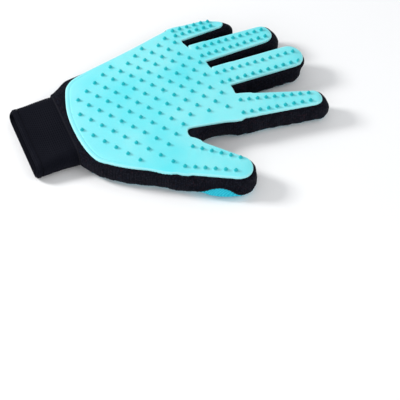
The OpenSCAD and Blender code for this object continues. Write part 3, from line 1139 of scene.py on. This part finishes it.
class Track:
    """A line on a surface, with the directions along it, across it and out of the surface."""

    def __init__(self, line, out, closed=True):
        self.line, self.closed = line, closed
        if closed:
            self.along = unit(np.roll(line, -1, axis=0) - np.roll(line, 1, axis=0))
        else:
            self.along = unit(np.gradient(line, axis=0))
        self.across = unit(np.cross(self.along, out))
        self.out = np.cross(self.across, self.along)

    def cord(self, radius, lift=0.0):
        """A round cord that follows the line."""
        turn = np.arange(8)[None, :, None] * math.pi / 4
        around = np.cos(turn) * self.out[:, None] + np.sin(turn) * self.across[:, None]
        rings = (self.line + lift * self.out)[:, None] + radius * around
        points, faces = swept(rings, self.closed)
        shape = Shape(points, smooth_normals(points, faces), faces)
        return shape if self.closed else cap(shape)

    def stitch(self, i, reach, radius, lift, slant):
        """One loop of thread that crosses the line at its point i."""
        share = np.linspace(-1, 1, 7)[:, None]
        turn = np.arange(6)[None, :, None] * math.pi / 3
        path = self.line[i] + share * (reach * self.across[i] + slant * self.along[i])
        path = path + lift * (1 - share**2) * self.out[i]
        thin = radius * np.sqrt(1.04 - share**2)[:, :, None]
        rings = path[:, None] + thin * (np.cos(turn) * self.out[i] - np.sin(turn) * self.along[i])
        points, faces = swept(rings, closed=False)
        last = len(points) - 6
        near = [[0, k + 1, k] for k in range(1, 5)]
        far = [[last, last + k, last + k + 1] for k in range(1, 5)]
        faces = np.concatenate([faces, near, far])
        return Shape(points, smooth_normals(points, faces), faces)

    def stitches(self, every, **size):
        """A stitch at every so many points of the line."""
        return [self.stitch(i, **size) for i in range(every, len(self.line) - 1, every)]


def owner_of(point):
    """The hand, or the digit and part of it, that a place belongs to."""
    for d in DIGITS:
        s, t = d.local(point[0], point[1])
        if s > d.root and abs(t) < REACH[d.name]:
            return d.name, "base" if s < d.cut else "tip"
    return "hand", ""


# Piping and stitches where the side knit meets the mesh, all the way round
seam_loop = max(open_loops(back_sheet.faces), key=len)
seam_line = evenly(back_sheet.points[seam_loop], 0.9)
edge = Track(seam_line, gradient(body_field, hand_plan, seam_line))
piping = by_digit(edge.cord(PIPING, lift=-0.1))
edge_shapes = {key: [cap(part)] for key, part in piping.items()}
for stitch in edge.stitches(3, reach=1.15, radius=STITCH, lift=0.42, slant=0.35):
    edge_shapes[owner_of(stitch.points.mean(axis=0))].append(stitch)
edge_shapes = {key: joined(shapes) for key, shapes in edge_shapes.items()}
digit_pieces(edge_shapes, "edge_seam", THREAD, HAND_KNIT, "knit")

# The overlocked roll that joins the cuff to the hand
wrist_ring = cuff_ring(HAND_END + 0.1, 0.95)
upper = smooth(wrist_ring[:, 2], 2, 8)[:, None]
lift = unit(wrist_ring - wrist_ring.mean(axis=0)) * [0, 0.3, 1] + [0, 0, 1e-6]
wrist_line = evenly(wrist_ring + 0.5 * upper * unit(lift), 0.8)
roll = Track(wrist_line, unit((wrist_line - wrist_line.mean(axis=0)) * [0, 0.12, 1]))
shapes = [roll.cord(ROLL)]
shapes += roll.stitches(2, reach=1.0, radius=1.1 * STITCH, lift=0.75, slant=0.5)
wrist_roll = make_piece("wrist_overlock", joined(shapes), THREAD, ["wrist_seam"])
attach(wrist_roll, "hand")

# The seam that closes the cuff's tube, on the little finger's side
ridge_x = np.arange(HAND_END - 1.5, fold + 0.6, -0.7)
outermost = int(np.argmax(cuff_ring(HAND_END - 10, 0.25)[:, 1]))
ridge_line = np.array([cuff_ring(x, 0.25)[outermost] for x in ridge_x])
outward = np.tile([0.0, 1.0, 0.0], (len(ridge_line), 1))
ridge = Track(ridge_line, outward, closed=False)
shapes = [ridge.cord(PIPING)]
shapes += ridge.stitches(3, reach=1.1, radius=STITCH, lift=0.5, slant=0.45)
cuff_ridge = make_piece("cuff_joining_seam", joined(shapes), THREAD, ["cuff_side_seam"])
cuff_blend(cuff_ridge)

# ---- Camera, light and floor ----

AIM = Vector((0, -0.096, 0))
AZIMUTH, ELEVATION, DISTANCE = math.radians(-22), math.radians(50), 1.2
VIEW_WIDTH = 0.2974         # width of the view at the aim, in metres
SENSOR = 36

camera_data = bpy.data.cameras.new("camera")
camera = added("camera", camera_data)
back = Vector((
    math.sin(AZIMUTH) * math.cos(ELEVATION),
    -math.cos(AZIMUTH) * math.cos(ELEVATION),
    math.sin(ELEVATION),
))
camera.location = AIM + back * DISTANCE
camera.rotation_mode = "QUATERNION"
camera.rotation_quaternion = (-back).to_track_quat("-Z", "Y")
camera_data.sensor_width = SENSOR
camera_data.lens = SENSOR * DISTANCE / VIEW_WIDTH
bpy.context.scene.camera = camera


def lamp(name, at, size, watts):
    """A square soft light that faces the glove. Its place and size are in metres."""
    data = bpy.data.lights.new(name, "AREA")
    data.shape, data.size, data.energy = "SQUARE", size, watts
    made = added(name, data)
    made.location = at
    made.rotation_mode = "QUATERNION"
    made.rotation_quaternion = (Vector(at) * -1).to_track_quat("-Z", "Y")


lamp("key_light", (-0.8, 0.52, 0.66), 0.3, 10.5)
lamp("fill_light", (0.7, -0.6, 0.8), 0.9, 3)
lamp("low_light", (-0.4, -0.9, 0.45), 0.8, 2.5)

world = bpy.data.worlds.new("studio")
world.use_nodes = True
sky = world.node_tree.nodes["Background"].inputs
sky["Color"].default_value = (0.95, 0.97, 1.0, 1)
sky["Strength"].default_value = 0.55
bpy.context.scene.world = world
bpy.context.scene.view_settings.view_transform = "Standard"

FLOOR_REACH, FLOOR_Z = 3.0, -0.0001    # in metres
floor_mesh = bpy.data.meshes.new("floor")
sides = ((-1, -1), (1, -1), (1, 1), (-1, 1))
corners = [(i * FLOOR_REACH, j * FLOOR_REACH, FLOOR_Z) for i, j in sides]
floor_mesh.from_pydata(corners, [], [(0, 1, 2, 3)])
floor_mesh.materials.append(studio_floor())
floor = added("floor", floor_mesh)

# ---- The end ----

bpy.context.view_layer.update()
